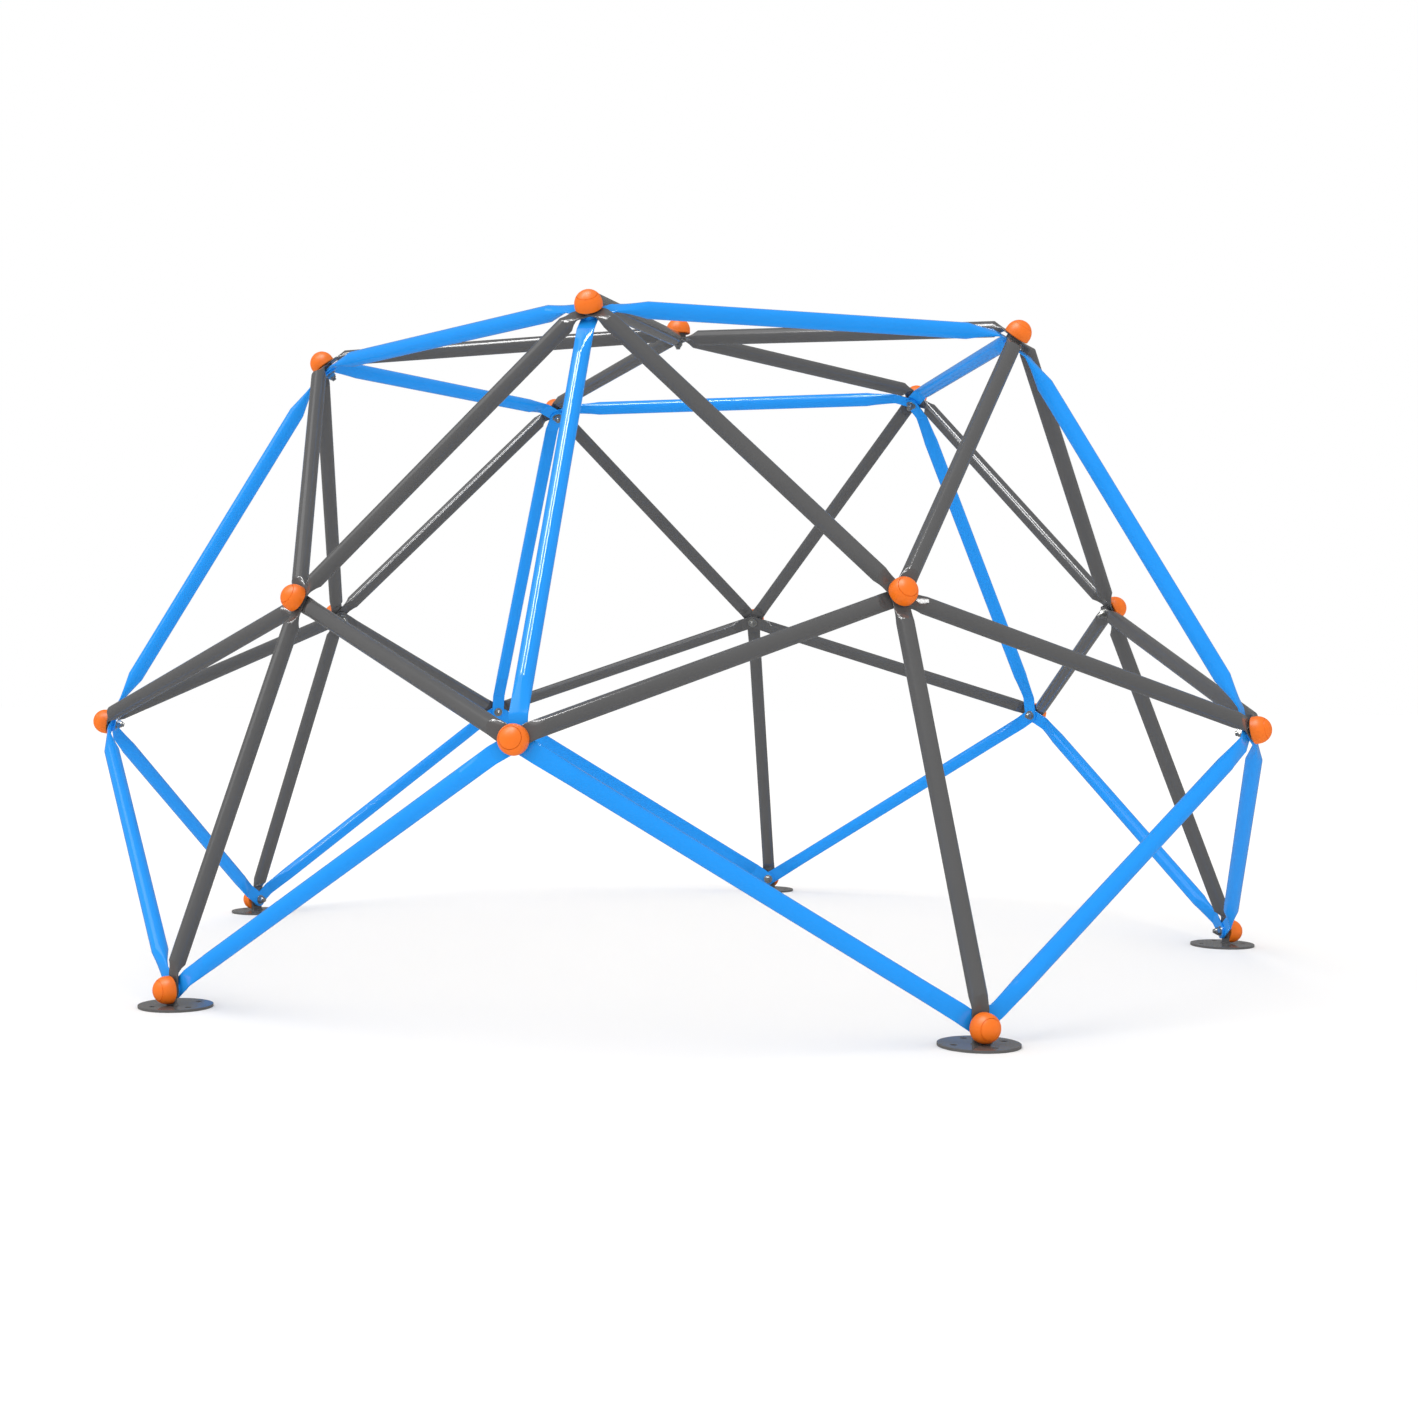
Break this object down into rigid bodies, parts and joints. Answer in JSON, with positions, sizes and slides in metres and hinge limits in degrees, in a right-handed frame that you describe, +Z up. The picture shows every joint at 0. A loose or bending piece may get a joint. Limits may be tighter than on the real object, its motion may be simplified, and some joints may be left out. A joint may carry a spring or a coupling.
{
  "type": "dome climber",
  "caption": "Free-standing geodesic dome climber of straight tubes with pressed ends, bolted together under round plastic caps and standing on round anchor plates.",
  "frame": {"origin": "on the ground on the dome's vertical axis, the centre of the ring of anchor holes", "axes": "+Z up along the dome's axis; -Y towards the belt joint and crown joint of sector 1; +X to the right seen from there"},
  "size_m": [2.9794, 3.0919, 1.6591],
  "materials": {
    "blue_powder_coat": "gloss powder coat",
    "grey_powder_coat": "gloss powder coat",
    "foot_powder_coat": "semi-gloss powder coat",
    "orange_cap_plastic": "satin-gloss moulded plastic",
    "zinc_plated_steel": "zinc plated"
  },
  "bodies": {
    "root": {"crown_spoke_1": "grey_powder_coat", "crown_spoke_2": "grey_powder_coat", "crown_spoke_3": "grey_powder_coat", "crown_spoke_4": "grey_powder_coat", "crown_spoke_5": "grey_powder_coat", "crown_ring_tube_1": "blue_powder_coat", "crown_ring_tube_2": "blue_powder_coat", "crown_ring_tube_3": "blue_powder_coat", "crown_ring_tube_4": "blue_powder_coat", "crown_ring_tube_5": "blue_powder_coat", "shoulder_tube_1": "blue_powder_coat", "shoulder_tube_2": "blue_powder_coat", "shoulder_tube_3": "blue_powder_coat", "shoulder_tube_4": "blue_powder_coat", "shoulder_tube_5": "blue_powder_coat", "upper_brace_a_1": "grey_powder_coat", "upper_brace_a_2": "grey_powder_coat", "upper_brace_a_3": "grey_powder_coat", "upper_brace_a_4": "grey_powder_coat", "upper_brace_a_5": "grey_powder_coat", "upper_brace_b_1": "grey_powder_coat", "upper_brace_b_2": "grey_powder_coat", "upper_brace_b_3": "grey_powder_coat", "upper_brace_b_4": "grey_powder_coat", "upper_brace_b_5": "grey_powder_coat", "belt_tube_a_1": "grey_powder_coat", "belt_tube_a_2": "grey_powder_coat", "belt_tube_a_3": "grey_powder_coat", "belt_tube_a_4": "grey_powder_coat", "belt_tube_a_5": "grey_powder_coat", "belt_tube_b_1": "grey_powder_coat", "belt_tube_b_2": "grey_powder_coat", "belt_tube_b_3": "grey_powder_coat", "belt_tube_b_4": "grey_powder_coat", "belt_tube_b_5": "grey_powder_coat", "centre_leg_1": "grey_powder_coat", "centre_leg_2": "grey_powder_coat", "centre_leg_3": "grey_powder_coat", "centre_leg_4": "grey_powder_coat", "centre_leg_5": "grey_powder_coat", "splayed_leg_a_1": "blue_powder_coat", "splayed_leg_a_2": "blue_powder_coat", "splayed_leg_a_3": "blue_powder_coat", "splayed_leg_a_4": "blue_powder_coat", "splayed_leg_a_5": "blue_powder_coat", "splayed_leg_b_1": "blue_powder_coat", "splayed_leg_b_2": "blue_powder_coat", "splayed_leg_b_3": "blue_powder_coat", "splayed_leg_b_4": "blue_powder_coat", "splayed_leg_b_5": "blue_powder_coat", "foot_1": "foot_powder_coat", "foot_2": "foot_powder_coat", "foot_3": "foot_powder_coat", "foot_4": "foot_powder_coat", "foot_5": "foot_powder_coat", "cap_bodies": "orange_cap_plastic", "cap_lids": "orange_cap_plastic", "bolts": "zinc_plated_steel", "nuts": "zinc_plated_steel", "washers": "zinc_plated_steel"}
  },
  "joints": []
}
